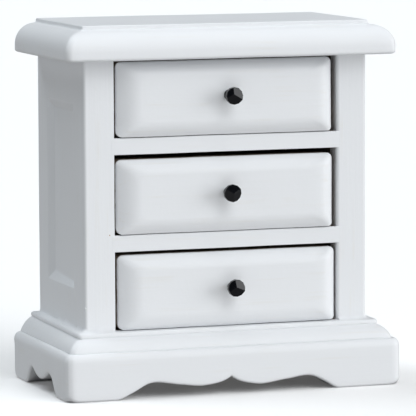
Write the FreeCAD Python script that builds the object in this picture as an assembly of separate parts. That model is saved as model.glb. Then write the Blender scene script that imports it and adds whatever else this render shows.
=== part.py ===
"""A 1:12 miniature chest of three drawers, built as its real boards, aprons and drawer boxes.

Millimetres. +X is the chest's right as seen from its front, +Y points to its back and +Z up.
The origin is the centre of the footprint, on the surface that the feet stand on.
"""

import FreeCAD, Part
import math
import os
from FreeCAD import Vector

# Carcass
case_width = 40.4
case_depth = 21.4
side_thickness = 4.25
back_thickness = 1.5
back_rabbet = 1.6
shelf_thickness = 2.25
housing_depth = 0.8
front_arris = 0.4
shelf_arris = 0.12

# Heights above the floor
apron_height = 6.4
base_top = 8.85
top_underside = 45.4
total_height = 50.0
opening_heights = {"bottom": 10.65, "middle": 10.85, "top": 10.55}

# Sunk field on the outside of each side board
field_depth = 0.75
field_bevel = 1.1
field_from_front = 5.1
field_length = 11.95
field_bottom = 14.25
field_top = 39.2

# Plinth
apron_overhang = 3.8
apron_thickness = 4.0
apron_corner_radius = 1.0
apron_top_round = 0.8
apron_foot_round = 0.45
apron_heel = 1.3

# Drawers
drawer_left_gaps = {"bottom": 0.42, "middle": 0.3, "top": 0.33}
drawer_right_gaps = {"bottom": 0.35, "middle": 0.65, "top": 0.77}
drawer_floor_gap = 0.12
drawer_top_gaps = {"bottom": 0.48, "middle": 0.69, "top": 0.36}
front_crown = 1.1
front_recess = 0.35
front_body = 2.9
front_round_width = 3.3
front_round_height = 2.1
front_corner_radius = 0.7
drawer_length = 18.7
drawer_wall = 1.5
drawer_bottom_thickness = 1.0
drawer_wall_height = 7.6
drawer_wall_inset = 0.2
drawer_wall_arris = 0.2

# Knobs. Their holes are drilled by hand, at these places across the case and above their openings' floors
knob_places = {"bottom": (0.2, 5.48), "middle": (-0.3, 5.47), "top": (0.0, 5.48)}
knob_turns = {"bottom": 38.0, "middle": 88.0, "top": 31.0}
knob_radius = 1.2
knob_back_radius = 0.82
knob_neck_radius = 0.5
knob_hole_clearance = 0.02
knob_hole_depth = 2.2
knob_neck_end_gap = 0.1
knob_standoff = 1.4
knob_back_bevel = 0.35
knob_rim = 0.4
knob_crown = 0.55
knob_sides = 12
knob_facets = 3
knob_facet_reach = 1.05
knob_tip = 0.02

# Sizes that follow
half_width = case_width / 2
face_y = -(case_depth + apron_overhang) / 2 + apron_overhang
back_y = face_y + case_depth
back_panel_y = back_y - back_thickness
opening_half = half_width - side_thickness
shelf_lower_z = base_top + opening_heights["bottom"]
shelf_upper_z = shelf_lower_z + shelf_thickness + opening_heights["middle"]
opening_floors = {
    "bottom": base_top,
    "middle": shelf_lower_z + shelf_thickness,
    "top": shelf_upper_z + shelf_thickness,
}


def box(x0, x1, y0, y1, z0, z1):
    """A block between two corners."""
    return Part.makeBox(x1 - x0, y1 - y0, z1 - z0, Vector(x0, y0, z0))


def line(start, end):
    return Part.LineSegment(start, end).toShape()


def arc(start, middle, end):
    return Part.Arc(start, middle, end).toShape()


def prism(edges, direction):
    """A solid with the closed outline that the edges make, pushed along a direction."""
    wire = Part.Wire(Part.__sortEdges__(edges))
    return Part.Face(wire).extrude(direction)


def polygon(points):
    """The edges of a closed polygon."""
    return [line(a, b) for a, b in zip(points, points[1:] + points[:1])]


def corner_arc(centre, radius, start_degrees, end_degrees):
    """Middle and end of an arc about a centre, as pairs of overhang and height."""
    points = []
    for angle in ((start_degrees + end_degrees) / 2, end_degrees):
        turn = math.radians(angle)
        points.append((centre[0] + radius * math.cos(turn), centre[1] + radius * math.sin(turn)))
    return points


def moulding(start, steps, place):
    """Edges of a moulded profile. A step is its end, or the middle and the end of an arc."""
    edges = []
    here = start
    for step in steps:
        if len(step) == 1:
            edges.append(line(place(*here), place(*step[0])))
        else:
            edges.append(arc(place(*here), place(*step[0]), place(*step[1])))
        here = step[-1]
    return edges, here


def moulded_board(start, steps):
    """A board whose front and two side edges carry one profile, mitred, with a square back."""

    def right(overhang, z):
        return Vector(half_width + overhang, face_y - apron_overhang, z)

    def left(overhang, z):
        return Vector(-half_width - overhang, face_y - apron_overhang, z)

    def front(overhang, z):
        return Vector(-half_width - apron_overhang, face_y - overhang, z)

    right_edges, end = moulding(start, steps, right)
    left_edges, _ = moulding(start, steps, left)
    across = [line(right(*start), left(*start)), line(right(*end), left(*end))]
    along_y = prism(right_edges + left_edges + across, Vector(0, case_depth + apron_overhang, 0))

    front_edges, _ = moulding(start, steps, front)
    back_top = Vector(-half_width - apron_overhang, back_y, start[1])
    back_bottom = Vector(-half_width - apron_overhang, back_y, end[1])
    behind = [line(front(*start), back_top), line(back_top, back_bottom), line(back_bottom, front(*end))]
    along_x = prism(front_edges + behind, Vector(case_width + 2 * apron_overhang, 0, 0))
    return along_y.common(along_x)


def upright_edges(shape, x, y):
    """The vertical edges of a shape that stand at one place in plan."""
    found = []
    for edge in shape.Edges:
        middle = edge.CenterOfMass
        vertical = abs(edge.BoundBox.ZLength - edge.Length) < 0.001
        if vertical and abs(middle.x - x) < 0.001 and abs(middle.y - y) < 0.001:
            found.append(edge)
    return found


def rounded_plan(half, y0, y1, z0, z1, radius):
    """An upright block whose two front corners are rounded in plan."""
    block = box(-half, half, y0, y1, z0, z1)
    return block.makeFillet(radius, upright_edges(block, -half, y0) + upright_edges(block, half, y0))


def long_edges(shape, y, z):
    """The edges of a shape that run along X at one depth and height."""
    found = []
    for edge in shape.Edges:
        middle = edge.CenterOfMass
        level = abs(edge.BoundBox.XLength - edge.Length) < 0.001
        if level and abs(middle.y - y) < 0.001 and abs(middle.z - z) < 0.001:
            found.append(edge)
    return found


def top_board():
    """Thick top with a fillet step, a thumb moulding and an eased lower edge."""
    step = 0.24
    lip = 0.12
    cove = 0.3
    overhang = 3.3
    nose_radius = 2.9
    nose_start = 87.2
    nose_z = 46.5
    shoulder_z = nose_z + nose_radius * math.sin(math.radians(nose_start))
    easing = 0.42
    steps = [
        corner_arc((step - lip, total_height - lip), lip, 90, 0),
        [(step, shoulder_z + cove)],
        corner_arc((step + cove, shoulder_z + cove), cove, 180, 270),
        corner_arc((overhang - nose_radius, nose_z), nose_radius, nose_start, 0),
        [(overhang, top_underside + easing)],
        corner_arc((overhang - easing, top_underside + easing), easing, 0, -90),
    ]
    return moulded_board((step - lip, total_height), steps)


def base_board():
    """Board under the case: a flat ledge, a bead, a quirk and a sloping ovolo."""
    bead = 1.33
    bead_round = 0.26
    quirk_z = 8.2
    quirk_depth = 0.12
    ovolo_foot = 2.9
    steps = [
        corner_arc((bead - bead_round, base_top - bead_round), bead_round, 90, 0),
        [(bead, quirk_z + quirk_depth)],
        [(bead - quirk_depth, quirk_z)],
        [(2.32, 7.42), (ovolo_foot, apron_height)],
    ]
    return moulded_board((bead - bead_round, base_top), steps)


def side_board(hand):
    """A side of the case, with hand -1 for the left and 1 for the right."""
    outer = hand * half_width
    inner = hand * opening_half
    board = box(min(outer, inner), max(outer, inner), face_y, back_y, base_top, top_underside)
    board = board.makeFillet(front_arris, upright_edges(board, outer, face_y))

    near = face_y + field_from_front
    far = near + field_length

    def ring(x, inset):
        corners = [
            Vector(x, near + inset, field_bottom + inset),
            Vector(x, far - inset, field_bottom + inset),
            Vector(x, far - inset, field_top - inset),
            Vector(x, near + inset, field_top - inset),
        ]
        return Part.Wire(polygon(corners))

    slope = field_bevel / field_depth
    proud = 0.2
    mouth = ring(outer + hand * proud, -proud * slope)
    floor = ring(outer - hand * field_depth, field_bevel)
    board = board.cut(Part.makeLoft([mouth, floor], True, True))

    rabbet = inner + hand * back_rabbet
    board = board.cut(box(min(inner, rabbet), max(inner, rabbet), back_panel_y, back_y, base_top, top_underside))
    housing = inner + hand * housing_depth
    for z in (shelf_lower_z, shelf_upper_z):
        board = board.cut(box(min(inner, housing), max(inner, housing), face_y, back_panel_y,
                              z, z + shelf_thickness))
    return board


def shelf(z):
    """A dust board between two drawers, its ends let into the side boards."""
    half = opening_half + housing_depth
    board = box(-half, half, face_y, back_panel_y, z, z + shelf_thickness)
    square = box(-opening_half, opening_half, face_y, back_panel_y, z, z + shelf_thickness)
    front_edges = long_edges(square, face_y, z) + long_edges(square, face_y, z + shelf_thickness)
    eased = square.makeFillet(shelf_arris, front_edges)
    return board.cut(square).fuse(eased)


def back_panel():
    half = opening_half + back_rabbet
    return box(-half, half, back_panel_y, back_y, base_top, top_underside)


def edges_along_y(shape):
    """The straight edges of a shape that run from front to back."""
    return [edge for edge in shape.Edges if abs(edge.BoundBox.YLength - edge.Length) < 0.001]


def spline(points, start_direction, end_direction):
    """A smooth curve through points, leaving and arriving in the given directions."""
    curve = Part.BSplineCurve()
    curve.interpolate(Points=points, InitialTangent=start_direction, FinalTangent=end_direction)
    return curve.toShape()


def front_scallop():
    """The cut-out under the front apron: two ogees, two hanging lobes and a sharp middle cusp."""
    clear = 1.0
    y = face_y - apron_overhang - clear

    def at(x, z):
        return Vector(x, y, z)

    cusp = (-0.7, 2.42)
    left = [at(-17.1, 0), at(-14.75, 0.88), at(-12.3, 2.06), at(-8.1, 1.68), at(-4.5, 1.36), at(*cusp)]
    right = [at(*cusp), at(2.9, 1.2), at(7.2, 1.6), at(11.0, 1.86), at(12.75, 1.05), at(14.9, 0)]
    start, end = left[0], right[-1]
    edges = [
        spline(left, Vector(3, 0, 0.2), Vector(3, 0, 2.2)),
        spline(right, Vector(3, 0, -2.6), Vector(3, 0, -0.2)),
        line(end, at(end.x, -clear)),
        line(at(end.x, -clear), at(start.x, -clear)),
        line(at(start.x, -clear), start),
    ]
    return prism(edges, Vector(0, apron_thickness + 2 * clear, 0))


def side_scallop():
    """The cut-out under both side aprons: two arches with one hanging lobe between them."""
    clear = 1.0
    x = -half_width - apron_overhang - clear

    def at(y, z):
        return Vector(x, y, z)

    front_arch = [at(-7.45, 0), at(-6.5, 0.42), at(-5.7, 1.25), at(-5.05, 2.2), at(-4.0, 2.75), at(-2.0, 2.05)]
    lobe = at(0.4, 1.5)
    back_arch = [at(2.4, 1.95), at(4.1, 2.6), at(5.3, 1.9), at(6.2, 0.8), at(6.9, 0.22), at(7.7, 0)]
    outline = front_arch + [lobe] + back_arch
    start, end = outline[0], outline[-1]
    edges = [
        spline(outline, Vector(0, 1, 0), Vector(0, 1, 0)),
        line(end, at(end.y, -clear)),
        line(at(end.y, -clear), at(start.y, -clear)),
        line(at(start.y, -clear), start),
    ]
    return prism(edges, Vector(case_width + 2 * (apron_overhang + clear), 0, 0))


def heels(half):
    """What the rounded lower back corners of the side aprons leave out."""
    clear = 1.0
    start_y = back_y - apron_heel

    def at(y, z):
        return Vector(-half - clear, y, z)

    bulge = apron_heel * (1 - math.sqrt(0.5))
    edges = [
        line(at(back_y, apron_heel), at(back_y, -clear)),
        line(at(back_y, -clear), at(start_y, -clear)),
        line(at(start_y, -clear), at(start_y, 0)),
        arc(at(start_y, 0), at(back_y - bulge, bulge), at(back_y, apron_heel)),
    ]
    return prism(edges, Vector(2 * (half + clear), 0, 0))


def aprons():
    """The three mitred aprons of the plinth, by name."""
    shoulder = apron_overhang - apron_top_round
    steps = [
        corner_arc((shoulder, apron_height - apron_top_round), apron_top_round, 90, 0),
        [(apron_overhang, apron_foot_round)],
        corner_arc((apron_overhang - apron_foot_round, apron_foot_round), apron_foot_round, 0, -90),
    ]
    ring = moulded_board((shoulder, apron_height), steps)
    half = half_width + apron_overhang
    front = face_y - apron_overhang
    ring = ring.common(rounded_plan(half, front, back_y, 0, apron_height, apron_corner_radius))
    inner = half - apron_thickness
    ring = ring.cut(box(-inner, inner, front + apron_thickness, back_y + 1, -1, apron_height + 1))
    ring = ring.cut(front_scallop()).cut(side_scallop()).cut(heels(half))

    wedge = prism(polygon([
        Vector(-half, front, -1),
        Vector(half, front, -1),
        Vector(inner, front + apron_thickness, -1),
        Vector(-inner, front + apron_thickness, -1),
    ]), Vector(0, 0, apron_height + 2))
    rest = ring.cut(wedge)
    pieces = {"apron_front": ring.common(wedge)}
    for solid in rest.Solids:
        pieces["apron_left" if solid.CenterOfMass.x < 0 else "apron_right"] = solid
    return pieces


def round_over(low, high, width, place):
    """Edges of a drawer front's section: flat back, crowned face, broad round-overs at both ends."""
    crown = face_y - front_crown
    rim = face_y + front_recess
    rise = rim - crown
    radius = (width ** 2 + rise ** 2) / (2 * rise)
    swing = math.asin(width / radius) / 2
    step_in = width - radius * math.sin(swing)
    step_up = crown + radius * (1 - math.cos(swing))
    back = face_y + front_body
    return [
        line(place(low, back), place(low, rim)),
        arc(place(low, rim), place(low + step_in, step_up), place(low + width, crown)),
        line(place(low + width, crown), place(high - width, crown)),
        arc(place(high - width, crown), place(high - step_in, step_up), place(high, rim)),
        line(place(high, rim), place(high, back)),
        line(place(high, back), place(low, back)),
    ]


def drawer_front(low_x, high_x, low_z, high_z, knob_place):
    """A crowned drawer front with mitred round-overs, eased corners and the hole for its knob."""
    level_edges = round_over(low_x, high_x, front_round_width, lambda x, y: Vector(x, y, low_z))
    across = prism(level_edges, Vector(0, 0, high_z - low_z))
    upright_section = round_over(low_z, high_z, front_round_height, lambda z, y: Vector(low_x, y, z))
    along = prism(upright_section, Vector(high_x - low_x, 0, 0))
    block = box(low_x, high_x, face_y - front_crown, face_y + front_body, low_z, high_z)
    corners = block.makeFillet(front_corner_radius, edges_along_y(block))
    x, z = knob_place
    hole = Part.makeCylinder(knob_neck_radius + knob_hole_clearance, knob_hole_depth,
                             Vector(x, face_y - front_crown, z), Vector(0, 1, 0))
    return across.common(along).common(corners).cut(hole)


def knob_ring(x, y, z, radius, sides, turn):
    """A regular polygon that faces the front."""
    points = []
    for i in range(sides):
        angle = math.radians(turn + 360.0 * i / sides)
        points.append(Vector(x + radius * math.cos(angle), y, z + radius * math.sin(angle)))
    return Part.Wire(polygon(points))


def knob(knob_place, turn):
    """A cut-glass style knob: a round neck, a many-sided rim and a crown of three large facets."""
    x, z = knob_place
    back = face_y - front_crown - knob_standoff
    rim_back = back - knob_back_bevel
    rim_front = rim_back - knob_rim
    apex = rim_front - knob_crown
    neck_length = knob_standoff + knob_hole_depth - knob_neck_end_gap
    neck = Part.makeCylinder(knob_neck_radius, neck_length, Vector(x, back, z), Vector(0, 1, 0))
    head = Part.makeLoft([
        knob_ring(x, back, z, knob_back_radius, knob_sides, turn),
        knob_ring(x, rim_back, z, knob_radius, knob_sides, turn),
        knob_ring(x, apex, z, knob_radius, knob_sides, turn),
    ], True, True)
    facet_turn = turn + 180.0 / knob_facets
    corner_radius = knob_radius * knob_facet_reach / math.cos(math.pi / knob_facets)
    depth = back - apex
    pyramid = Part.makeLoft([
        knob_ring(x, back, z, corner_radius * depth / knob_crown, knob_facets, facet_turn),
        knob_ring(x, apex, z, corner_radius * knob_tip, knob_facets, facet_turn),
    ], True, True)
    return head.common(pyramid).fuse(neck).removeSplitter()


def drawer(level):
    """The six pieces of one drawer, by name."""
    left = -opening_half + drawer_left_gaps[level]
    right = opening_half - drawer_right_gaps[level]
    low = opening_floors[level] + drawer_floor_gap
    high = opening_floors[level] + opening_heights[level] - drawer_top_gaps[level]
    knob_x, knob_z = knob_places[level]
    knob_place = (knob_x, opening_floors[level] + knob_z)
    inner_left = left + drawer_wall_inset + drawer_wall
    inner_right = right - drawer_wall_inset - drawer_wall
    front_back = face_y + front_body
    end = face_y + drawer_length
    rim = low + drawer_wall_height
    pieces = {
        "front": drawer_front(left, right, low, high, knob_place),
        "knob": knob(knob_place, knob_turns[level]),
    }
    for name, x in (("side_left", left + drawer_wall_inset), ("side_right", inner_right)):
        wall = box(x, x + drawer_wall, front_back, end, low, rim)
        top_edges = [edge for edge in edges_along_y(wall) if abs(edge.CenterOfMass.z - rim) < 0.001]
        pieces[name] = wall.makeFillet(drawer_wall_arris, top_edges)
    back_rim = rim - 2 * drawer_wall_arris
    floor_top = low + drawer_bottom_thickness
    pieces["back"] = box(inner_left, inner_right, end - drawer_wall, end, low, back_rim)
    pieces["bottom"] = box(inner_left, inner_right, front_back, end - drawer_wall, low, floor_top)
    return {f"drawer_{level}_{name}": shape for name, shape in pieces.items()}


def build():
    nodes = {
        "top_board": top_board(),
        "side_panel_left": side_board(-1),
        "side_panel_right": side_board(1),
        "back_panel": back_panel(),
        "shelf_lower": shelf(shelf_lower_z),
        "shelf_upper": shelf(shelf_upper_z),
        "base_board": base_board(),
    }
    nodes.update(aprons())
    for level in ("top", "middle", "bottom"):
        nodes.update(drawer(level))
    return nodes


os.makedirs("parts", exist_ok=True)
for node, shape in build().items():
    shape.exportStep(os.path.join("parts", node + ".step"))
    print(f"{node}: solids {len(shape.Solids)}, valid {shape.isValid()}, volume {shape.Volume:.1f} mm3")
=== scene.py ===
"""Looks of the 1:12 painted chest of drawers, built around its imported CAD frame.

Shapes are written in millimetres in the chest's own frame: +X is its right, +Y its back, +Z up, and
the origin is on the floor at the middle of its footprint. add_piece scales them to metres.
"""

import math

import bmesh
import bpy
from mathutils import Matrix, Vector, noise


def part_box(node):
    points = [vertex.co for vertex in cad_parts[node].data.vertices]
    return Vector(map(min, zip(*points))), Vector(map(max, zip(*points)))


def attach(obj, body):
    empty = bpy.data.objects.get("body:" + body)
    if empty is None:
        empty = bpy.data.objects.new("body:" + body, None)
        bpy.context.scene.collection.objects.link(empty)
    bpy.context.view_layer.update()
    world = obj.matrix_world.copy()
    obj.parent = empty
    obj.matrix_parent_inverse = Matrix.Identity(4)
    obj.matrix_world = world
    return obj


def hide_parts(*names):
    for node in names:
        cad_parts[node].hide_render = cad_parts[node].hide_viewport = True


MM = 0.001
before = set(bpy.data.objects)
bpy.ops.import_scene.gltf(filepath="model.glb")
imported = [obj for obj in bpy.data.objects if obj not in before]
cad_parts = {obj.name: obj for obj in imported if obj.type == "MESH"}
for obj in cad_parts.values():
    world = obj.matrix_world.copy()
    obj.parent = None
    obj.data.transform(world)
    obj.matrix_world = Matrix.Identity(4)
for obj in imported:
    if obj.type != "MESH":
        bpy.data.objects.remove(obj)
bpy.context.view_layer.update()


def node_box(name):
    """Lowest and highest corners of a CAD node, in millimetres."""
    low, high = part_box(name)
    return Vector(low) / MM, Vector(high) / MM


# Main sizes, read from the CAD nodes
left_low, left_high = node_box("side_panel_left")
top_low, top_high = node_box("top_board")
apron_low, apron_high = node_box("apron_front")

half_width = -left_low.x
opening_half = -left_high.x
face_y = left_low.y
back_y = left_high.y
back_panel_y = node_box("back_panel")[0].y
base_top = node_box("base_board")[1].z
top_underside = top_low.z
total_height = top_high.z
top_overhang = top_high.x - half_width
apron_height = apron_high.z
apron_half = node_box("apron_right")[1].x
apron_front_y = apron_low.y
apron_back_y = node_box("apron_left")[1].y
apron_thickness = apron_high.y - apron_low.y

# Unevenness of hand work: how far surfaces stray, and over what length
WOBBLE = 0.035
WOBBLE_LENGTH = 7.0
# Without a fixed seed, noise_vector differs from run to run
noise.seed_set(1)
# Edges that bend by more degrees than this stay crisp
CRISP_ANGLE = 50


# ---------------------------------------------------------------- mesh helpers

def wobble(point, amount=WOBBLE):
    """A hand-made piece's small unevenness: a smooth shift that depends only on the place."""
    return point + noise.noise_vector(point / WOBBLE_LENGTH) * amount


def link(obj):
    bpy.context.scene.collection.objects.link(obj)
    return obj


def finish_piece(name, build, material, body, nodes):
    """Turns a bmesh in metres into a smooth shaded piece that rides on a body."""
    bmesh.ops.recalc_face_normals(build, faces=build.faces)
    mesh = bpy.data.meshes.new(name)
    build.to_mesh(mesh)
    build.free()
    mesh.shade_smooth()
    mesh.set_sharp_from_angle(angle=math.radians(CRISP_ANGLE))
    mesh.materials.append(material)
    piece = link(bpy.data.objects.new(name, mesh))
    normals = piece.modifiers.new("face_weighted_normals", "WEIGHTED_NORMAL")
    normals.mode = "FACE_AREA"
    normals.weight = 90
    normals.thresh = 0.01
    normals.keep_sharp = True
    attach(piece, body)
    if nodes:
        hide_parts(*nodes)
    return piece


def add_piece(name, points, faces, material, body, nodes=(), amount=WOBBLE):
    """A closed piece from points in millimetres."""
    build = bmesh.new()
    corners = [build.verts.new(wobble(Vector(p), amount) * MM) for p in points]
    for face in faces:
        build.faces.new([corners[i] for i in face])
    bmesh.ops.remove_doubles(build, verts=build.verts, dist=0.002 * MM)
    bmesh.ops.dissolve_degenerate(build, edges=build.edges, dist=0.0005 * MM)
    return finish_piece(name, build, material, body, nodes)


def arc(centre, radius, start, end, steps):
    """Points on an arc, both ends included. Angles are in degrees."""
    points = []
    for i in range(steps + 1):
        turn = math.radians(start + (end - start) * i / steps)
        points.append((centre[0] + radius * math.cos(turn), centre[1] + radius * math.sin(turn)))
    return points


def rounded_rectangle(low, high, radii, segments, corner_steps=5):
    """Points round a rectangle with round corners, anticlockwise from its lower left.

    radii are those of the lower left, lower right, upper right and upper left corners, and segments
    are how many parts the level and the upright sides are divided into.
    """
    (x0, y0), (x1, y1) = low, high
    r = radii
    corners = [
        arc((x0 + r[0], y0 + r[0]), r[0], 180, 270, corner_steps),
        arc((x1 - r[1], y0 + r[1]), r[1], 270, 360, corner_steps),
        arc((x1 - r[2], y1 - r[2]), r[2], 0, 90, corner_steps),
        arc((x0 + r[3], y1 - r[3]), r[3], 90, 180, corner_steps),
    ]
    points = []
    for i, corner in enumerate(corners):
        points += corner
        start, end = corner[-1], corners[(i + 1) % 4][0]
        count = segments[i % 2]
        for j in range(1, count):
            t = j / count
            points.append((start[0] + (end[0] - start[0]) * t, start[1] + (end[1] - start[1]) * t))
    return points


def stack(rings):
    """Points and faces of a solid through closed rings of equally many points, capped at both ends."""
    count = len(rings[0])
    points = [p for ring in rings for p in ring]
    faces = []
    for i in range(len(rings) - 1):
        for j in range(count):
            k = (j + 1) % count
            faces.append((i * count + j, i * count + k, (i + 1) * count + k, (i + 1) * count + j))
    faces.append(tuple(reversed(range(count))))
    last = (len(rings) - 1) * count
    faces.append(tuple(range(last, last + count)))
    return points, faces


def smooth_curve(points, start, end, parts):
    """Points on a smooth line through the given ones, which leaves and arrives in two directions."""
    points = [Vector(p) for p in points]
    spans = [(b - a).length for a, b in zip(points, points[1:])]
    slopes = [Vector(start).normalized()]
    for i in range(1, len(points) - 1):
        before = (points[i] - points[i - 1]) / spans[i - 1]
        after = (points[i + 1] - points[i]) / spans[i]
        slopes.append((before * spans[i] + after * spans[i - 1]) / (spans[i - 1] + spans[i]))
    slopes.append(Vector(end).normalized())
    line = []
    for i, span in enumerate(spans):
        for j in range(parts):
            t = j / parts
            line.append(points[i] * (1 + 2 * t) * (1 - t) ** 2 + slopes[i] * span * t * (1 - t) ** 2
                        + points[i + 1] * t * t * (3 - 2 * t) + slopes[i + 1] * span * t * t * (t - 1))
    line.append(points[-1])
    return [(p.x, p.y) for p in line]


# ---------------------------------------------------------------- materials

class Finish:
    """A material's node tree, with short ways to add nodes and join them."""

    def __init__(self, name):
        self.material = bpy.data.materials.new(name)
        self.material.use_nodes = True
        self.tree = self.material.node_tree
        self.shader = self.tree.nodes["Principled BSDF"]
        self.place = self.add("TexCoord").outputs["Object"]

    def add(self, kind, inputs=None, **settings):
        """A node. An input's value is a number, a tuple or another node's output."""
        node = self.tree.nodes.new("ShaderNode" + kind)
        for key, value in settings.items():
            setattr(node, key, value)
        for key, value in (inputs or {}).items():
            self.join(node, key, value)
        return node

    def join(self, node, key, value):
        if isinstance(value, bpy.types.NodeSocket):
            self.tree.links.new(value, node.inputs[key])
        else:
            node.inputs[key].default_value = value

    def set(self, key, value):
        self.join(self.shader, key, value)

    def noise(self, sizes, detail=2.0, roughness=0.5, offset=0.0):
        """Noise from 0 to 1 whose features measure sizes, in millimetres along X, Y and Z."""
        place = self.add("Mapping", {"Vector": self.place, "Scale": tuple(1 / (s * MM) for s in sizes),
                                     "Location": (offset, offset * 0.7, offset * 1.3)})
        return self.add("TexNoise", {"Vector": place.outputs[0], "Scale": 1.0, "Detail": detail,
                                     "Roughness": roughness}).outputs["Fac"]

    def math(self, operation, first, second=0.0, third=0.0):
        return self.add("Math", {0: first, 1: second, 2: third}, operation=operation).outputs[0]

    def ramp(self, value, low, high, to_low=0.0, to_high=1.0):
        """A smooth step from one value to another while the input goes from low to high."""
        return self.add("MapRange", {"Value": value, "From Min": low, "From Max": high, "To Min": to_low,
                                     "To Max": to_high}, interpolation_type="SMOOTHSTEP").outputs["Result"]

    def mix(self, factor, first, second):
        """A mix of two colours."""
        node = self.add("Mix", data_type="RGBA")
        for key, value in ((0, factor), (6, first), (7, second)):
            self.join(node, key, value)
        return node.outputs[2]

    def bump(self, height, depth, strength=1.0, under=None):
        """Relief of a depth in millimetres, on top of another relief."""
        inputs = {"Height": height, "Distance": depth * MM, "Strength": strength}
        if under is not None:
            inputs["Normal"] = under
        return self.add("Bump", inputs).outputs["Normal"]


def grain_sizes(axis, along, across):
    return tuple(along if i == axis else across for i in range(3))


BOX_WOOD = ((0.38, 0.26, 0.15, 1), (0.56, 0.42, 0.27, 1))
# Drawer fronts' edges and backs: bare wood, darker than the box wood as painted shade, so the gaps round
# the drawers look dark
FRONT_WOOD_WITH_PAINTED_SHADE = ((0.15, 0.11, 0.075, 1), (0.27, 0.205, 0.145, 1))
# Bare wood inside the case and the plinth, far darker than the box wood: painted shade for the gaps by the
# drawers and for the plinth's arches
INSIDE_WOOD_WITH_PAINTED_SHADE = ((0.10, 0.08, 0.06, 1), (0.19, 0.15, 0.115, 1))
PAINT = (0.80, 0.815, 0.835, 1)
PAINT_THIN = (0.77, 0.765, 0.745, 1)


def wood_colour(finish, axis, tones):
    """Wood with fine straight grain along an axis, between a dark and a light tone."""
    fibres = finish.noise(grain_sizes(axis, 9.0, 0.22), 4.0, 0.6)
    bands = finish.noise(grain_sizes(axis, 30.0, 2.2), 2.0, 0.5, 3.0)
    tone = finish.math("MULTIPLY_ADD", fibres, 0.6, finish.math("MULTIPLY", bands, 0.5))
    return finish.mix(finish.ramp(tone, 0.38, 0.75), *tones), fibres


def bare_wood_and_shade_mask(finish, kind, reach=0.0):
    """1 where the paint has not reached: inside the case, inside the plinth or behind a drawer front. The
    dark wood shown there is painted shade as well as bare wood, and on a drawer it begins right at the rim
    so the gaps look dark.

    reach is how far the paint goes into the case, in millimetres.
    """
    rim, fade, skin = 0.15, 0.2, 0.06
    case_fade, foot_low, foot_high = 0.3, 1.6, 3.0
    x, y, z = finish.add("SeparateXYZ", {0: finish.place}).outputs
    ragged = finish.math("MULTIPLY", finish.noise((1.4, 1.4, 1.4), 3.0, 0.6, 5.0), 0.8 * MM)
    depth = finish.math("SUBTRACT", y, ragged)
    if kind == "drawer":
        return finish.ramp(depth, (face_y + rim) * MM, (face_y + rim + fade) * MM)
    side = finish.math("ABSOLUTE", x)
    if kind == "plinth":
        side_skin, board_skin = 0.05, 0.08
        inner = apron_half - apron_thickness + side_skin
        within = finish.math("LESS_THAN", side, inner * MM)
        behind = finish.math("GREATER_THAN", y, (apron_front_y + apron_thickness - side_skin) * MM)
        below = finish.math("LESS_THAN", z, (apron_height + board_skin) * MM)
        edge = finish.ramp(finish.math("ADD", z, ragged), foot_low * MM, foot_high * MM)
        return finish.math("MULTIPLY", finish.math("MULTIPLY", within, behind),
                           finish.math("MULTIPLY", below, edge))
    within = finish.math("LESS_THAN", side, (opening_half + skin) * MM)
    above = finish.math("GREATER_THAN", z, (base_top - skin) * MM)
    below = finish.math("LESS_THAN", z, (top_underside + skin) * MM)
    behind = finish.ramp(depth, (face_y + reach) * MM, (face_y + reach + case_fade) * MM)
    before = finish.math("LESS_THAN", y, (back_panel_y + skin) * MM)
    return finish.math("MULTIPLY", finish.math("MULTIPLY", within, behind),
                       finish.math("MULTIPLY", finish.math("MULTIPLY", above, below), before))


def white_paint(name, axis, bare=None, reach=0.0):
    """Satin paint, brushed over wood whose grain runs along one axis."""
    finish = Finish(name)
    brush = finish.noise(grain_sizes(axis, 16.0, 0.5), 3.0, 0.55)
    pores = finish.noise(grain_sizes(axis, 2.6, 0.16), 2.0, 0.6, 2.0)
    peel = finish.noise((0.55, 0.55, 0.55), 2.0, 0.5, 4.0)
    cloud = finish.noise((6.0, 6.0, 6.0), 2.0, 0.5, 7.0)
    thin = finish.math("MULTIPLY", finish.ramp(brush, 0.5, 0.75), finish.ramp(cloud, 0.42, 0.68))
    colour = finish.mix(finish.math("MULTIPLY", thin, 0.55), PAINT, PAINT_THIN)
    rough = finish.math("MULTIPLY_ADD", cloud, 0.14, 0.36)
    relief = finish.bump(cloud, 0.06, 0.35)
    relief = finish.bump(brush, 0.018, 0.8, relief)
    relief = finish.bump(peel, 0.012, 0.7, relief)
    relief = finish.bump(pores, 0.006, 0.8, relief)
    # Inside, dark bare wood replaces the paint: unpainted wood, darkened as painted shade for the gaps and
    # the plinth's arches
    if bare:
        bare_and_shade = bare_wood_and_shade_mask(finish, bare, reach)
        wood, fibres = wood_colour(finish, axis, FRONT_WOOD_WITH_PAINTED_SHADE if bare == "drawer" else INSIDE_WOOD_WITH_PAINTED_SHADE)
        colour = finish.mix(bare_and_shade, colour, wood)
        rough = finish.math("MULTIPLY_ADD", bare_and_shade, 0.22, rough)
        relief = finish.bump(finish.math("MULTIPLY", bare_and_shade, fibres), 0.02, 0.8, relief)
    finish.set("Base Color", colour)
    finish.set("Roughness", rough)
    finish.set("Normal", relief)
    finish.set("IOR", 1.46)
    return finish.material


def bare_wood(name, axis):
    finish = Finish(name)
    colour, fibres = wood_colour(finish, axis, BOX_WOOD)
    finish.set("Base Color", colour)
    finish.set("Roughness", finish.math("MULTIPLY_ADD", fibres, 0.15, 0.55))
    finish.set("Normal", finish.bump(fibres, 0.02, 0.8))
    return finish.material


def black_gloss(name):
    """Black glass-like plastic with faint smears and rub marks."""
    finish = Finish(name)
    smear = finish.noise((0.5, 0.5, 0.5), 3.0, 0.6)
    specks = finish.noise((0.09, 0.09, 0.09), 1.0, 0.5, 3.0)
    finish.set("Base Color", finish.mix(smear, (0.002, 0.002, 0.003, 1), (0.006, 0.007, 0.009, 1)))
    finish.set("Roughness", finish.math("MULTIPLY_ADD", smear, 0.16, 0.05))
    finish.set("Normal", finish.bump(specks, 0.0015, 0.6))
    finish.set("IOR", 1.38)
    return finish.material


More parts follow.
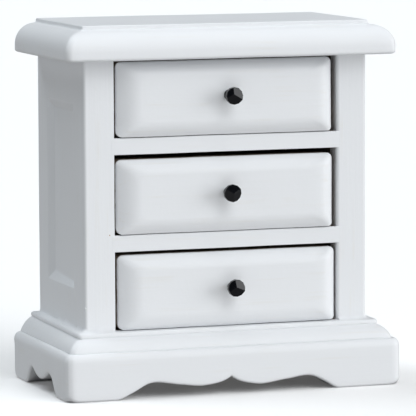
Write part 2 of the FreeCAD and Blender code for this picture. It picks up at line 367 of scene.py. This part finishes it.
paint_x = white_paint("white_paint_x", 0)
case_paint_x = white_paint("white_paint_case_x", 0, "case")
case_paint_z = white_paint("white_paint_case_z", 2, "case", 1.9)
drawer_paint = white_paint("white_paint_drawer", 0, "drawer")
plinth_paint_x = white_paint("white_paint_plinth_x", 0, "plinth")
plinth_paint_y = white_paint("white_paint_plinth_y", 1, "plinth")
wood_x = bare_wood("bare_wood_x", 0)
wood_y = bare_wood("bare_wood_y", 1)
knob_black = black_gloss("black_knob")


# ---------------------------------------------------------------- moulded boards

def moulded_board(name, profile, node, material, lift=None):
    """A board whose front and side edges carry a profile.

    Its points are (overhang, height, back inset, corner radius), and lift(x, y, z) is how much higher
    than that the surface lies at a place.
    """
    back_corner, parts = 0.12, (40, 22)
    rings = []
    for overhang, z, back_inset, corner in profile:
        plan = rounded_rectangle(
            (-half_width - overhang, face_y - overhang),
            (half_width + overhang, back_y - back_inset),
            (corner, corner, back_corner, back_corner), parts)
        rings.append([(x, y, z + (lift(x, y, z) if lift else 0.0)) for x, y in plan])
    points, faces = stack(rings)
    return add_piece(name, points, faces, material, "case", (node,))


def top_board():
    """The top, from its flat plane over a step and a cove to its round nose and eased lower edge."""
    step, cove, lip, crease = 0.24, 0.3, 0.16, 0.02
    shoulder_z, shoulder_run, shoulder_fall = 49.4, 0.08, 0.005
    nose_z, nose_radius, nose_flat, easing = 46.5, 2.9, 0.3, 0.42
    plane_corner, nose_corner = 0.2, 0.9
    line = arc((step - lip, total_height - lip), lip, 90, 0, 3)
    line += [(step, shoulder_z + cove + crease)]
    line += arc((step + cove, shoulder_z + cove), cove, 180, 270, 5)
    line += [(step + cove + shoulder_run, shoulder_z - shoulder_fall)]
    line += arc((top_overhang - nose_radius, nose_z), nose_radius, 84, 0, 16)
    line += [(top_overhang, nose_z - nose_flat)]
    line += arc((top_overhang - easing, top_underside + easing), easing, 0, -90, 5)
    profile = []
    for o, z in line:
        back_inset = max(0.0, z - total_height + lip, top_underside + lip - z)
        corner = plane_corner + (nose_corner - plane_corner) * min(1.0, o / top_overhang)
        profile.append((o, z, back_inset, corner))
    return moulded_board("painted_top_board", profile, "top_board", case_paint_x)


def base_board():
    """The base, from its ledge round the bead, into the quirk and down the ovolo to the aprons."""
    bead, bead_round = 1.33, 0.34
    quirk_z, quirk_depth = 8.2, 0.09
    foot, crest = Vector((2.9, apron_height)), Vector((2.32, 7.42))
    line = arc((bead - bead_round, base_top - bead_round), bead_round, 90, 0, 5)
    line += [(bead, quirk_z + quirk_depth + 0.08), (bead - 0.03, quirk_z + 0.08),
             (bead - quirk_depth, quirk_z), (bead - quirk_depth + 0.06, quirk_z - 0.07)]
    start = Vector((bead - quirk_depth, quirk_z))
    bend = (start - 2 * crest + foot) * 2
    swell = Vector((0.06, -0.03))
    parts = 8
    for i in range(1, parts + 1):
        t = i / parts
        point = start + (foot - start - bend) * t + bend * t * t + swell * (1 - t)
        line.append((point.x, point.y))
    back_easing, ledge_corner, corner_growth = 0.12, 0.3, 0.2
    profile = [(o, z, max(0.0, z - base_top + back_easing), ledge_corner + corner_growth * o)
               for o, z in line]
    profile.append((foot.x - 0.1, apron_height - 0.2, 0.0, 0.88))

    def lift(x, y, z):
        """The ledge was planed a little out of level, and is highest at its left rear."""
        most, lowest_z, run = 0.28, 7.2, 0.9
        backwards = max(0.0, (y - face_y) / (back_y - face_y))
        leftwards = max(0.0, min(1.0, -x / half_width))
        upwards = max(0.0, min(1.0, (z - lowest_z) / run))
        return most * backwards * leftwards * upwards

    return moulded_board("painted_base_board", profile, "base_board", case_paint_x, lift)


# ---------------------------------------------------------------- case

def side_board(hand, node):
    """A side board with its sunk field, from the field's floor outwards and round to the inside."""
    field_depth, field_bevel = 0.75, 1.1
    near, far = face_y + 5.05, face_y + 17.05
    low, high = 14.25, 39.2
    near_foot, far_foot = 0.5, 1.2
    arris, back_share = 0.38, 0.25
    let_in, rabbet_depth, board_corner = 0.2, 2.6, 0.03
    bottom, top = base_top - let_in, top_underside + let_in
    parts = (14, 30)

    def field_ring(depth, inset, corner):
        plan = rounded_rectangle((near + inset, low), (far - inset, high - inset), (corner,) * 4, parts)
        ring = []
        for y, z in plan:
            foot = near_foot + (far_foot - near_foot) * (y - near) / (far - near)
            ring.append((hand * (half_width - depth), y, z + inset * foot * (high - z) / (high - low)))
        return ring

    def board_ring(depth, front, back):
        plan = rounded_rectangle((front, bottom), (back, top), (board_corner,) * 4, parts)
        return [(hand * (half_width - depth), y, z) for y, z in plan]

    rings = [
        field_ring(field_depth, field_bevel + 0.18, 0.05),
        field_ring(field_depth - 0.03, field_bevel + 0.02, 0.06),
        field_ring(field_depth - 0.12, field_bevel - 0.16, 0.07),
        field_ring(0.14, 0.16, 0.12),
        field_ring(0.04, 0.03, 0.16),
        field_ring(0.0, -0.14, 0.2),
    ]
    for y, depth in arc((arris, arris), arris, 270, 180, 8):
        rings.append(board_ring(depth, face_y + y, back_y - y * back_share))
    rings.append(board_ring(rabbet_depth, face_y, back_y))
    rings.append(board_ring(rabbet_depth + 0.001, face_y, back_panel_y))
    inner_depth = half_width - opening_half
    inner_arris = 0.12 if hand < 0 else 0.42
    for y, depth in arc((inner_arris, inner_depth - inner_arris), inner_arris, 180, 90, 6):
        rings.append(board_ring(depth, face_y + y, back_panel_y))
    points, faces = stack(rings)
    name = "painted_side_" + ("left" if hand < 0 else "right")
    return add_piece(name, points, faces, case_paint_z, "case", (node,))


def plain_board(name, low, high, axis, radius, material, body, nodes, segments=(24, 6)):
    """A board between two corners, with small soft arrises all round. axis is its thinnest way."""
    u, v = [a for a in range(3) if a != axis]
    ease = arc((radius, radius), radius, 270, 180, 3)
    layers = [(low[axis] + d, i) for i, d in ease] + [(high[axis] - d, i) for i, d in reversed(ease)]
    rings = []
    for level, inset in layers:
        plan = rounded_rectangle((low[u] + inset, low[v] + inset), (high[u] - inset, high[v] - inset),
                                 (radius,) * 4, segments, 3)
        ring = []
        for a, b in plan:
            point = Vector((0, 0, 0))
            point[axis], point[u], point[v] = level, a, b
            ring.append(point)
        rings.append(ring)
    points, faces = stack(rings)
    return add_piece(name, points, faces, material, body, nodes)


def rail(level):
    """A dust board. Its front edge runs a little over the side boards, as the paint hides the joints."""
    node = "shelf_" + level
    low, high = node_box(node)
    lap, skin, arris = 0.35, 0.02, 0.12
    half = opening_half + lap
    y0, y1 = low.y - skin, high.y
    section = [(y1, low.z), (y1, high.z)]
    section += [(y0 + a, high.z - arris + b) for a, b in arc((arris, 0), arris, 90, 180, 4)]
    section += [(y0 + a, low.z + arris + b) for a, b in arc((arris, 0), arris, 180, 270, 4)]
    parts = 24
    rings = [[(-half + 2 * half * i / parts, y, z) for y, z in section] for i in range(parts + 1)]
    points, faces = stack(rings)
    return add_piece("painted_rail_" + level, points, faces, case_paint_x, "case", (node,))


def back_panel():
    """The thin back. It shows a hairline gap at its sides, and its ends are out of sight."""
    low, high = node_box("back_panel")
    gap, lap = 0.04, 0.1
    low += Vector((gap, 0, -lap))
    high += Vector((-gap, 0, lap))
    return plain_board("painted_back_panel", low, high, 1, 0.06, case_paint_z, "case",
                       ("back_panel",), (20, 20))


# ---------------------------------------------------------------- plinth

# Radius of the plinth's front corners, and the length along one apron's half of it
CORNER = 1.2
CORNER_RUN = CORNER * math.pi / 4
# Round-over of the aprons' top edges, inwards and downwards
APRON_TOP_ROUND = (0.8, 1.15)
# Rounding of the lower edges, how much it grows at the corners and from how far
APRON_FOOT_ROUND = 0.36
CORNER_GROWTH, CORNER_REACH = 0.7, 2.2
# Length over which an apron's back slants into its mitre
MITRE_SLACK = 5.0


def front_edge():
    """Lower edge of the front apron from mitre to mitre, as (place along it, height)."""
    end = apron_half - CORNER + CORNER_RUN
    left_foot, right_foot = -17.1, 14.9
    cusp = (-0.7, 2.42)
    left = smooth_curve([(left_foot, 0), (-14.75, 0.88), (-12.3, 2.06), (-8.1, 1.68), (-4.5, 1.36), cusp],
                        (3, 0.2), (3, 2.2), 8)
    right = smooth_curve([cusp, (2.9, 1.2), (7.2, 1.6), (11.0, 1.86), (12.75, 1.05), (right_foot, 0)],
                         (3, -2.6), (3, -0.2), 8)
    start_foot = [(-end + (end + left_foot) * i / 16, 0.0) for i in range(16)]
    end_foot = [(right_foot + (end - right_foot) * i / 20, 0.0) for i in range(1, 21)]
    return start_foot + left + right[1:] + end_foot


def side_edge():
    """Lower edge of a side apron from its mitre, along its two feet and up its rounded heel."""
    start = apron_front_y + CORNER - CORNER_RUN
    heel, under_round = 1.3, 0.2
    front_foot, back_foot = -7.9, 7.7
    arches = smooth_curve([(front_foot, 0), (-6.95, 0.45), (-6.2, 1.25), (-5.4, 2.2), (-4.1, 2.75),
                           (-2.0, 2.05), (0.4, 1.5), (2.4, 1.95), (4.1, 2.6), (5.3, 1.9), (6.2, 0.8),
                           (6.9, 0.22), (back_foot, 0)],
                          (1, 0), (1, 0), 6)
    start_foot = [(start + (front_foot - start) * i / 10, 0.0) for i in range(10)]
    end_foot = [(back_foot + (apron_back_y - heel - back_foot) * i / 5, 0.0) for i in range(1, 5)]
    up = arc((apron_back_y - heel, heel), heel, 270, 360, 8)
    top = apron_height - APRON_TOP_ROUND[1] - under_round
    back = [(apron_back_y, heel + (top - heel) * i / 6) for i in range(1, 7)]
    return start_foot + arches + end_foot + up + back


def apron(name, node, edge, outer, inner, top_along, corner_distance, material):
    """A strip whose lower edge is rounded all along its scallops.

    outer(s, z, d) is the place at s along the strip, z high and d behind its face, and inner(s, z) is
    the place on its back. top_along(s, i) is where a column over the edge's point i, at s, meets the
    top, and corner_distance(s) is how far s is from a mitre, where the rounding grows.
    """
    loops = []
    top_z = apron_height - APRON_TOP_ROUND[1]
    for i, (s, z) in enumerate(edge):
        before, after = edge[max(i - 1, 0)], edge[min(i + 1, len(edge) - 1)]
        run = Vector((after[0] - before[0], after[1] - before[1])).normalized()
        into = Vector((-run.y, run.x))
        nearness = max(0.0, 1 - corner_distance(s) / CORNER_REACH)
        rounding = min(APRON_FOOT_ROUND + CORNER_GROWTH * nearness ** 2, 0.02 + (top_z - z))
        high_s = top_along(s, i)
        loop = [outer(high_s, top_z + APRON_TOP_ROUND[1] * b, APRON_TOP_ROUND[0] * (1 - a))
                for a, b in arc((0, 0), 1.0, 90, 0, 8)]
        inset = Vector((s, z)) + into * rounding
        for k in range(1, 6):
            point = Vector((high_s, top_z)).lerp(inset, k / 6)
            loop.append(outer(point.x, point.y, 0.0))
        for a, b in arc((0, 0), 1.0, 0, 90, 6):
            point = Vector((s, z)) + into * rounding * (1 - b)
            loop.append(outer(point.x, point.y, rounding * (1 - a)))
        low_front = Vector(loop[-1])
        low_back = Vector(inner(s, z))
        for k in range(1, 4):
            loop.append(low_front.lerp(low_back, k / 3 - 0.02 * (k == 3)))
        edge_in = min(0.15, rounding)
        point = Vector((s, z)) + into * edge_in
        loop.append(Vector(inner(point.x, point.y)))
        for k in range(1, 4):
            loop.append(Vector(inner(high_s, point.y + (apron_height - point.y) * k / 3)))
        loops.append([Vector(p) for p in loop])
    points, faces = stack(loops)
    return add_piece(name, points, faces, material, "case", (node,))


def aprons():
    """The plinth's three strips. Each side strip takes half of a front corner, as far as its mitre."""
    centre = apron_half - CORNER
    inner_half = apron_half - apron_thickness
    inner_y = apron_front_y + apron_thickness

    def front_outer(s, z, d):
        over = abs(s) - centre
        if over <= 0:
            return s, apron_front_y + d, z
        turn, reach = over / CORNER, CORNER - d
        return (math.copysign(centre + reach * math.sin(turn), s),
                apron_front_y + CORNER - reach * math.cos(turn), z)

    def front_inner(s, z):
        free = apron_half - MITRE_SLACK
        over = (abs(s) - free) / (centre + CORNER_RUN - free)
        x = abs(s) if over <= 0 else free + (inner_half - free) * over
        return math.copysign(x, s), inner_y, z

    apron("painted_apron_front", "apron_front", front_edge(), front_outer, front_inner, lambda s, i: s,
          lambda s: centre + CORNER_RUN - abs(s), plinth_paint_x)

    edge = side_edge()
    bend_y = apron_front_y + CORNER
    start = edge[0][0]
    heel_reach = 1.6
    last_free = max(i for i, (s, z) in enumerate(edge) if s <= apron_back_y - heel_reach)

    def top_along(s, i):
        if i <= last_free:
            return s
        free_s = edge[last_free][0]
        return free_s + (apron_back_y - free_s) * (i - last_free) / (len(edge) - 1 - last_free)

    for hand, name in ((-1, "apron_left"), (1, "apron_right")):
        def side_outer(s, z, d):
            over = bend_y - s
            if over <= 0:
                return hand * (apron_half - d), s, z
            turn, reach = over / CORNER, CORNER - d
            return hand * (centre + reach * math.cos(turn)), bend_y - reach * math.sin(turn), z

        def side_inner(s, z):
            free = apron_front_y + MITRE_SLACK
            over = (free - s) / (free - start)
            return hand * inner_half, s if over <= 0 else free + (inner_y - free) * over, z

        apron("painted_" + name, name, edge, side_outer, side_inner, top_along, lambda s: s - start,
              plinth_paint_y)


# ---------------------------------------------------------------- gathered paint and marks

def case_line(corner=0.4, spacing=0.45):
    """Places round the case's outside, from its left back to its right back, with outward directions."""
    line = []
    x, y = half_width, face_y
    along = int((back_y - y - corner) / spacing)
    for i in range(along):
        line.append((-x, back_y + (y + corner - back_y) * i / along, -1, 0))
    for a, b in arc((0, 0), 1, 180, 270, 8):
        line.append((-x + corner + corner * a, y + corner + corner * b, a, b))
    across = int(2 * (x - corner) / spacing)
    for i in range(1, across):
        line.append((-x + corner + 2 * (x - corner) * i / across, y, 0, -1))
    for a, b in arc((0, 0), 1, 270, 360, 8):
        line.append((x - corner + corner * a, y + corner + corner * b, a, b))
    for i in range(1, along + 1):
        line.append((x, y + corner + (back_y - y - corner) * i / along, 1, 0))
    return line


def paint_fillet(name, z, up, width, height, unevenness, seed):
    """Hollow fillets of gathered paint between the case and a board, left and right of the drawers."""
    long_swell, short_swell, short_share = 2.3, 0.7, 0.7
    least, wall_sink, board_sink = 0.3, -0.12, -0.1
    line = case_line()
    opening = [i for i, (x, y, nx, ny) in enumerate(line) if ny < -0.99 and abs(x) < opening_half - 0.1]
    for hand, places in (("left", line[:opening[0]]), ("right", line[opening[-1] + 1:])):
        rings = []
        for x, y, nx, ny in places:
            swell = noise.noise(Vector((x, y, seed)) / long_swell)
            swell += short_share * noise.noise(Vector((x, y, seed + 9)) / short_swell)
            size = max(least, 1 + unevenness * swell)
            w, h = width * size, height * size
            ring = [(wall_sink, board_sink), (wall_sink, h)]
            ring += [(w + w * a, h + h * b) for a, b in arc((0, 0), 1, 180, 270, 5)]
            ring += [(w, board_sink)]
            rings.append([(x + nx * o, y + ny * o, z + up * e) for o, e in ring])
        points, faces = stack(rings)
        add_piece(name + "_" + hand, points, faces, paint_x, "case")


def dab(name, place, facing, width, height, material):
    """A small uneven drop that sits on a surface, from its rim to its crown."""
    outline = ((1.0, -0.4), (1.0, 0.0), (0.86, 0.5), (0.5, 0.87), (0.1, 1.0))
    unevenness = 0.5
    rings = []
    turn = Vector(facing).to_track_quat("Z", "Y")
    for radius, rise in outline:
        ring = []
        for a, b in arc((0, 0), radius * width, 0, 337.5, 15):
            uneven = 1 + unevenness * noise.noise(Vector((a, b, width)) / width)
            ring.append(tuple(Vector(place) + turn @ Vector((a * uneven, b * uneven, rise * height))))
        rings.append(ring)
    points, faces = stack(rings)
    add_piece(name, points, faces, material, "case", amount=0.0)


# ---------------------------------------------------------------- drawers

def drawer_front(level):
    """A crowned front with wide round-overs that meet in mitres, flatter below and tighter on its right."""
    node = "drawer_" + level + "_front"
    low, high = node_box(node)
    rise, rim = 1.45, 0.12
    width_side, width_edge = 3.3, 2.1
    flatter, zone = 0.38, 0.8
    crown_corner, rim_corner, back_easing = 0.95, 0.75, 0.15
    parts, steps = (30, 12), 14
    rings = []
    for i in range(steps + 1):
        t = 1 - i / steps
        inset_x, inset_z = width_side * t, width_edge * t
        corner = crown_corner - (crown_corner - rim_corner) * (1 - t) ** 2
        plan = rounded_rectangle((low.x + inset_x, low.z + inset_z), (high.x - inset_x, high.z - inset_z),
                                 (corner,) * 4, parts)
        ring = []
        for x, z in plan:
            lower = max(0.0, 1 - (z - low.z - inset_z) / zone)
            right = max(0.0, 1 - (high.x - inset_x - x) / zone)
            ring.append((x, low.y + rise * (1 - flatter * lower) * (1 - t) ** (2 + 2 * right), z))
        rings.append(ring)
    for inset, y in ((0.0, low.y + rise + rim), (0.0, high.y - back_easing), (back_easing, high.y)):
        plan = rounded_rectangle((low.x + inset, low.z + inset), (high.x - inset, high.z - inset),
                                 (rim_corner,) * 4, parts)
        rings.append([(x, y, z) for x, z in plan])
    points, faces = stack(rings)
    return add_piece("painted_" + node, points, faces, drawer_paint, "drawer_" + level,
                     (node,))


def drawer_box(level):
    """The bare wooden box behind a drawer front."""
    arris = 0.1
    for part, axis, material in (("side_left", 0, wood_y), ("side_right", 0, wood_y), ("back", 1, wood_x),
                                 ("bottom", 2, wood_x)):
        node = "drawer_" + level + "_" + part
        low, high = node_box(node)
        plain_board("wooden_" + node, low, high, axis, arris, material, "drawer_" + level,
                    (node,), (16, 6))


# ---------------------------------------------------------------- knobs

KNOB_RIM_RADIUS = 1.2
KNOB_BACK_RADIUS = 0.82
KNOB_NECK_RADIUS = 0.5
KNOB_BACK_BEVEL = 0.35
KNOB_RIM = 0.4
KNOB_CROWN = 0.55
KNOB_FACET_REACH = 1.05 * KNOB_RIM_RADIUS
KNOB_SIDES = 12
KNOB_EDGE = 0.035
NECK_SIDES = 24

# How the three knobs differ: their paint collars, where their facets meet and how far they are turned
KNOB_FOOT_RADIUS = {"bottom": 0.56, "middle": 0.58, "top": 0.76}
KNOB_TIP_SHIFT = {"bottom": (-0.16, 0.17), "middle": (0.0, 0.0), "top": (-0.26, 0.26)}
KNOB_TURNS = {"bottom": 38.0, "middle": 88.0, "top": 31.0}


def knob(level):
    """A black cut-glass style knob: twelve-sided rim, three large facets, and a round neck."""
    node = "drawer_" + level + "_knob"
    low, high = node_box(node)
    x, z = (low.x + high.x) / 2, (low.z + high.z) / 2
    apex_y = low.y
    head_back_y = apex_y + KNOB_CROWN + KNOB_RIM + KNOB_BACK_BEVEL
    front_y = node_box("drawer_" + level + "_front")[0].y
    turn = math.radians(KNOB_TURNS[level])
    shift_x, shift_z = KNOB_TIP_SHIFT[level]
    build = bmesh.new()

    def ring(radius, y, sides=KNOB_SIDES):
        verts = []
        for i in range(sides):
            angle = turn + 2 * math.pi * i / sides
            place = Vector((x + radius * math.cos(angle), y, z + radius * math.sin(angle)))
            verts.append(build.verts.new(place * MM))
        return verts

    def close(rings):
        for a, b in zip(rings, rings[1:]):
            for i in range(len(a)):
                j = (i + 1) % len(a)
                build.faces.new((a[i], a[j], b[j], b[i]))
        build.faces.new(rings[0])
        build.faces.new(list(reversed(rings[-1])))

    close([ring(KNOB_BACK_RADIUS, head_back_y), ring(KNOB_RIM_RADIUS, head_back_y - KNOB_BACK_BEVEL),
           ring(KNOB_RIM_RADIUS, apex_y - 0.1)])
    tip = Vector((x + shift_x, apex_y, z + shift_z)) * MM
    for k in range(3):
        angle = turn + k * 2 * math.pi / 3
        normal = Vector((KNOB_CROWN * math.cos(angle), -KNOB_FACET_REACH, KNOB_CROWN * math.sin(angle)))
        cut = bmesh.ops.bisect_plane(build, geom=build.verts[:] + build.edges[:] + build.faces[:],
                                     plane_co=tip, plane_no=normal.normalized(), clear_outer=True)
        rim = [e for e in cut["geom_cut"] if isinstance(e, bmesh.types.BMEdge)]
        bmesh.ops.contextual_create(build, geom=rim)
    bmesh.ops.remove_doubles(build, verts=build.verts, dist=0.001 * MM)
    bmesh.ops.bevel(build, geom=build.edges[:], offset=KNOB_EDGE * MM, segments=2, profile=0.6,
                    affect="EDGES")

    foot = KNOB_FOOT_RADIUS[level]
    neck = [
        (KNOB_NECK_RADIUS * 1.1, head_back_y - 0.05),
        (KNOB_NECK_RADIUS, head_back_y + 0.12),
        (KNOB_NECK_RADIUS, front_y - 0.7),
        (foot * 0.9, front_y - 0.35),
        (foot, front_y - 0.18),
        (foot, front_y + 0.02),
        (KNOB_NECK_RADIUS, front_y + 0.04),
        (KNOB_NECK_RADIUS, high.y),
    ]
    close([ring(radius, y, NECK_SIDES) for radius, y in neck])
    return finish_piece("black_knob_" + level, build, knob_black, "drawer_" + level, (node,))


# ---------------------------------------------------------------- studio

SUN_SPREAD = 40


def sun(name, azimuth, elevation, strength, colour, mirrored):
    """Soft light from far away. Azimuth 0 is in front of the chest and 90 on its right.

    mirrored tells whether it is seen in glossy surfaces.
    """
    lamp = bpy.data.lights.new(name, "SUN")
    lamp.energy = strength
    lamp.angle = math.radians(SUN_SPREAD)
    lamp.color = colour
    obj = link(bpy.data.objects.new(name, lamp))
    obj.visible_glossy = mirrored
    turn, lift = math.radians(azimuth), math.radians(elevation)
    towards = Vector((math.sin(turn) * math.cos(lift), -math.cos(turn) * math.cos(lift), math.sin(lift)))
    obj.rotation_euler = towards.to_track_quat("Z", "Y").to_euler()
    return obj


def sheet(name, low, high, z, colour, glow):
    """A level sheet of the studio between two corners."""
    mesh = bpy.data.meshes.new(name)
    corners = [(low[0], low[1], z), (high[0], low[1], z), (high[0], high[1], z), (low[0], high[1], z)]
    mesh.from_pydata([Vector(c) * MM for c in corners], [], [(0, 1, 2, 3)])
    finish = Finish(name)
    finish.set("Base Color", colour)
    finish.set("Roughness", 0.9)
    finish.set("Emission Color", (1.0, 1.0, 1.0, 1))
    finish.set("Emission Strength", glow)
    mesh.materials.append(finish.material)
    plane = link(bpy.data.objects.new(name, mesh))
    return plane


def studio():
    """A pale floor and soft daylight, mostly from the right of the front and from above."""
    world = bpy.data.worlds.new("studio")
    world.use_nodes = True
    nodes, links = world.node_tree.nodes, world.node_tree.links
    height = nodes.new("ShaderNodeSeparateXYZ")
    links.new(nodes.new("ShaderNodeTexCoord").outputs["Generated"], height.inputs[0])
    sky = nodes.new("ShaderNodeMapRange")
    for key, value in (("From Min", -0.05), ("From Max", 0.05), ("To Min", 0.47), ("To Max", 0.02)):
        sky.inputs[key].default_value = value
    links.new(height.outputs["Z"], sky.inputs["Value"])
    shade = nodes.new("ShaderNodeMapRange")
    for key, value in (("From Min", -0.95), ("From Max", -0.6), ("To Min", 0.0)):
        shade.inputs[key].default_value = value
    links.new(height.outputs["Z"], shade.inputs["Value"])
    links.new(sky.outputs["Result"], shade.inputs["To Max"])
    background = nodes["Background"]
    background.inputs["Color"].default_value = (1.0, 1.0, 1.0, 1)
    links.new(shade.outputs["Result"], background.inputs["Strength"])
    bpy.context.scene.world = world
    bpy.context.scene.view_settings.view_transform = "Standard"

    reach, inset = 4000, 0.3
    floor = sheet("floor", (-reach, -reach), (reach, reach), 0.0, (0.95, 0.95, 0.95, 1), 0.07)
    floor.visible_diffuse = False
    floor.visible_glossy = False
    floor.visible_shadow = False

    # A black sheet unseen by the camera: it blocks light from below and stands in for the shaded floor
    # under the chest, as painted shade inside the plinth
    card = sheet("shade_card_under_chest", (inset - apron_half, apron_front_y + inset),
                 (apron_half - inset, apron_back_y - inset), -0.01, (0.02, 0.02, 0.02, 1), 0.0)
    card.visible_camera = False

    cool = (0.965, 0.985, 1.0)
    blue = (0.89, 0.955, 1.0)
    sun("key", 20, 50, 1.02, cool, False)
    sun("front_fill", 20, 25, 0.46, cool, False)
    sun("window", 55, 12, 1.4, cool, True)
    sun("overhead", 0, 89, 0.8, cool, False)
    sun("floor_bounce", 0, -30, 0.42, cool, False)
    sun("left_wall", -78, 12, 0.46, blue, True)
    sun("left_back", -140, 60, 1.3, blue, True)


def camera():
    """A long lens a little above and to the left of the front."""
    azimuth, elevation, roll = math.radians(-19.153), math.radians(6.128), math.radians(-0.235)
    target = Vector((-2.722, face_y, 24.999)) * MM
    distance = 486.67 * MM
    back = Vector((math.sin(azimuth) * math.cos(elevation), -math.cos(azimuth) * math.cos(elevation),
                   math.sin(elevation)))
    right = Vector((math.cos(azimuth), math.sin(azimuth), 0))
    up = back.cross(right)
    turned_right = right * math.cos(roll) + up * math.sin(roll)
    turned_up = up * math.cos(roll) - right * math.sin(roll)
    lens = bpy.data.cameras.new("camera")
    lens.lens = 311.6
    lens.sensor_width = 36.0
    lens.clip_start = 0.01
    obj = link(bpy.data.objects.new("camera", lens))
    turn = Matrix((turned_right, turned_up, back)).transposed().to_4x4()
    obj.matrix_world = Matrix.Translation(target + back * distance) @ turn
    bpy.context.scene.camera = obj


top_board()
base_board()
side_board(-1, "side_panel_left")
side_board(1, "side_panel_right")
rail("lower")
rail("upper")
back_panel()
aprons()
paint_fillet("paint_along_ledge", base_top, 1, 0.85, 0.5, 0.55, 1.0)
paint_fillet("paint_under_top", top_underside, -1, 0.22, 0.22, 0.5, 20.0)
dab("paint_nub_on_arris", (0.06 - half_width, face_y + 0.14, 12.1), (-1, -1, 0), 0.13, 0.1, paint_x)
dab("bare_spot_on_rail", (-16.67, face_y, 21.86), (0, -1, 0), 0.09, 0.015, wood_x)
for drawer in ("top", "middle", "bottom"):
    drawer_front(drawer)
    drawer_box(drawer)
    knob(drawer)
studio()
camera()
